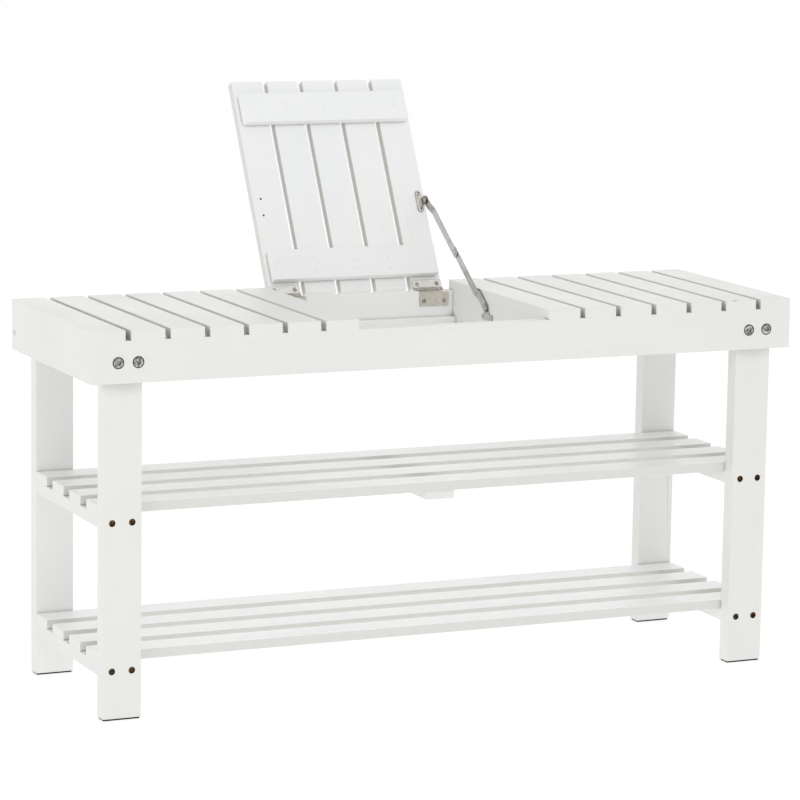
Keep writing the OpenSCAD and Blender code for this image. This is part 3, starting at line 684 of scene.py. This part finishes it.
def pilot_hole_linings():
    """Bare wood, darkened as painted shade, in the two spare holes at the left of the lid."""
    low, high = box_in_shut_lid("stay_lid_bracket")
    across = low.x + BRACKET_WIDTH / 2 - SPARE_HOLE_INSET
    middle = (low.y + high.y) / 2
    underside = box_in_shut_lid("lid_slat_1")[0].z
    for number, way in ((1, -1), (2, 1)):
        along = middle + way * BRACKET_SCREW_SPACING / 2
        place = on_open_lid(Vector((-across, along, underside)))
        mesh = drilled_lining(PILOT_HOLE_RADIUS, PILOT_HOLE_DEPTH, PILOT_HOLE_FLOOR, 16)
        add_piece(f"pilot_hole_lining_{number}", mesh, place, LID_UNDERSIDE, BARE_WOOD_WITH_PAINTED_SHADE, "lid")


def filled_brad():
    """A painted-over brad hole: a dimple of filler with an uneven edge, hardly proud of the wood."""
    mesh = bmesh.new()
    steps = 18
    stretch = 0.85 + 0.4 * dice.random()
    rings = []
    for reach, height in ((1.25 * MM, 0.004 * MM), (0.95 * MM, 0.045 * MM), (0.45 * MM, 0.02 * MM)):
        ring = []
        for step in range(steps):
            angle = 2 * math.pi * step / steps
            share = reach * (0.88 + 0.24 * dice.random())
            x = share * stretch * math.cos(angle)
            ring.append(mesh.verts.new((x, share * math.sin(angle), height)))
        rings.append(ring)
    for outer, inner in zip(rings, rings[1:]):
        for step in range(steps):
            after = (step + 1) % steps
            mesh.faces.new((outer[step], outer[after], inner[after], inner[step]))
    mesh.faces.new(rings[-1])
    return mesh


def filled_brads():
    """Two brads through each batten into each slat of the lid."""
    for batten, rows in BRAD_ROWS.items():
        low, high = box_in_shut_lid(batten)
        number = 0
        for slat in range(1, LID_SLATS + 1):
            slat_low, slat_high = box_in_shut_lid(f"lid_slat_{slat}")
            for row in rows:
                number += 1
                across = BRAD_SHIFT + dice.uniform(-BRAD_SCATTER, BRAD_SCATTER)
                along = row + dice.uniform(-BRAD_SCATTER, BRAD_SCATTER)
                x = (slat_low.x + slat_high.x) / 2 + across * MM
                y = (low.y + high.y) / 2 + along * MM
                place = on_open_lid(Vector((x, y, low.z)))
                add_piece(
                    f"{batten}_brad_{number}", filled_brad(), place, LID_UNDERSIDE,
                    FILLER, "lid",
                )


def joint_bead(length, depth):
    """Paint that bridges a joint: a strip along X, hardly below the faces on each side of it."""
    mesh = bmesh.new()
    steps = max(4, int(length / BEAD_STEP))
    rows = []
    for step in range(steps + 1):
        x = length * (step / steps - 0.5)
        sink = depth * (0.8 + 0.5 * dice.random())
        # Across the strip: (share of its width, how deep it lies)
        profile = (
            (-0.5, BEAD_EDGE_SINK), (-0.42, sink), (0, sink * 1.15), (0.42, sink), (0.5, BEAD_EDGE_SINK)
        )
        rows.append([mesh.verts.new((x, BEAD_WIDTH * share, -down)) for share, down in profile])
    for row, after in zip(rows, rows[1:]):
        for k in range(len(row) - 1):
            mesh.faces.new((row[k], after[k], after[k + 1], row[k + 1]))
    return mesh


def paint_joint(name, start, end, outward, material, depth=BEAD_SINK):
    """A joint bead from one point to another on a flush face of the bench."""
    along = (end - start).normalized()
    across = outward.cross(along)
    turn = Matrix((along, across, outward)).transposed().to_4x4()
    mesh = joint_bead((end - start).length, depth)
    piece = smooth_object(name, mesh, Matrix.Translation((start + end) / 2) @ turn)
    dress(piece, material)
    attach(piece, "bench")


def painted_joints():
    """Where boards meet flush, the paint runs over the joint. One seat slat's joint has opened."""
    inset = BEAD_INSET
    for side in ("left", "right"):
        for number in range(1, SEAT_SLATS + 1):
            low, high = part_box(f"{side}_seat_slat_{number}")
            depth = OPEN_BEAD_SINK if (side, number) == ("right", 1) else BEAD_SINK
            for where, y, outward in LONG_FACES:
                paint_joint(
                    f"{side}_slat_{number}_{where}_joint", Vector((low.x + inset, y, low.z)),
                    Vector((high.x - inset, y, low.z)), outward, SEAT_PAINT, depth,
                )
        low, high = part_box(f"{side}_end_rail")
        x = low.x if side == "left" else high.x
        inner = high.x if side == "left" else low.x
        outward = TO_LEFT if side == "left" else TO_RIGHT
        paint_joint(
            f"{side}_end_joint", Vector((x, low.y + inset, high.z)), Vector((x, high.y - inset, high.z)),
            outward, FRAME_ALONG_Y,
        )
        low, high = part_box(f"{side}_divider")
        x = high.x if side == "left" else low.x
        paint_joint(
            f"{side}_divider_joint", Vector((x, low.y + inset, high.z)),
            Vector((x, high.y - inset, high.z)), -outward, OPENING_SLAT_PAINT,
        )
        for where, y, facing in LONG_FACES:
            paint_joint(
                f"{side}_{where}_corner_joint", Vector((inner, y, low.z + inset)),
                Vector((inner, y, high.z - inset)), facing, FRAME_ALONG_X,
            )
        for shelf in ("upper", "lower"):
            rail_low, rail_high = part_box(f"{shelf}_{side}_cross_rail")
            x = rail_low.x if side == "left" else rail_high.x
            for number in range(1, SHELF_SLATS + 1):
                low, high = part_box(f"{shelf}_shelf_slat_{number}")
                paint_joint(
                    f"{shelf}_{side}_slat_{number}_joint", Vector((x, low.y + inset, low.z)),
                    Vector((x, high.y - inset, low.z)), outward, FRAME_ALONG_Y,
                )


def dished_shadow_ring():
    """A thin dark ring that rises a little from the wood round a bolt head: painted shade for the shadow
    gap under the head.
    """
    mesh = bmesh.new()
    steps = 40
    rings = []
    # From the rim inward: radius and height in mm
    for reach, height in ((7.0, 0.004), (6.9, 0.10), (6.5, 0.22), (6.1, 0.30)):
        ring = []
        for step in range(steps):
            angle = 2 * math.pi * step / steps
            share = reach * MM * (0.995 + 0.012 * dice.random())
            ring.append(mesh.verts.new((share * math.cos(angle), share * math.sin(angle), height * MM)))
        rings.append(ring)
    for outer, inner in zip(rings, rings[1:]):
        for step in range(steps):
            after = (step + 1) % steps
            mesh.faces.new((outer[step], outer[after], inner[after], inner[step]))
    return mesh


def bolt_shadow_rings():
    """A dark ring of painted shade round each bolt head, on the front and the back rail."""
    bolt_low, bolt_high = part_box("frame_bolts")
    outer = bolt_high.x - BOLT_HEAD_RADIUS
    z = (bolt_low.z + bolt_high.z) / 2
    number = 0
    for _, y, outward in LONG_FACES:
        for x in (-outer, BOLT_SPACING - outer, outer - BOLT_SPACING, outer):
            number += 1
            place = Vector((x, y, z))
            add_piece(
                f"painted_bolt_shadow_{number}", dished_shadow_ring(), place, outward, SHADOW_RING_METAL, "bench"
            )


counterbore_linings()
pilot_hole_linings()
filled_brads()
painted_joints()
bolt_shadow_rings()


# ---------------------------------------------------------------- studio
def studio():
    """A pale floor, an even white world and four soft lights."""
    bpy.ops.mesh.primitive_plane_add(size=80.0, location=(0, 20, 0))
    floor = bpy.context.object
    floor.name = "studio_floor"
    dress(floor, studio_floor("studio_floor"))

    world = bpy.data.worlds.new("studio")
    bpy.context.scene.world = world
    world.use_nodes = True
    sky = world.node_tree.nodes["Background"]
    sky.inputs["Color"].default_value = (1.0, 1.0, 1.0, 1.0)
    sky.inputs["Strength"].default_value = 0.74

    def softbox(name, place, target, width, height, power):
        """A rectangle of light, its sizes in metres and its power in watts."""
        light = bpy.data.lights.new(name, "AREA")
        light.shape = "RECTANGLE"
        light.size = width
        light.size_y = height
        light.energy = power
        lamp = bpy.data.objects.new(name, light)
        lamp.location = place
        aim = Vector(target) - Vector(place)
        lamp.rotation_euler = aim.to_track_quat("-Z", "Y").to_euler()
        lamp.visible_camera = False
        bpy.context.scene.collection.objects.link(lamp)

    softbox("left_softbox", (-3.4, -1.8, 1.1), (0, 0, 0.35), 2.4, 2.0, 12)
    softbox("front_softbox", (-0.4, -3.2, 2.6), (0, 0, 0.45), 3.0, 1.8, 12)
    softbox("back_softbox", (0.8, 4.2, 1.8), (0, 0, 0.35), 5.0, 3.0, 21)
    softbox("top_softbox", (0, 0.2, 3.2), (0, 0, 0.45), 3.0, 3.0, 5)


def camera():
    """The view of the photo."""
    lens = bpy.data.cameras.new("view")
    lens.lens = CAMERA_LENS
    lens.sensor_width = SENSOR_WIDTH
    lens.sensor_fit = "HORIZONTAL"
    lens.clip_end = 200
    eye = bpy.data.objects.new("view", lens)
    turn = Matrix.Rotation(math.radians(CAMERA_YAW), 4, "Z")
    turn = turn @ Matrix.Rotation(math.radians(90 + CAMERA_PITCH), 4, "X")
    turn = turn @ Matrix.Rotation(math.radians(CAMERA_ROLL), 4, "Z")
    eye.matrix_world = Matrix.Translation(CAMERA_PLACE) @ turn
    bpy.context.scene.collection.objects.link(eye)
    bpy.context.scene.camera = eye


studio()
camera()
bpy.context.scene.view_settings.view_transform = "Standard"
bpy.context.scene.view_settings.look = "None"
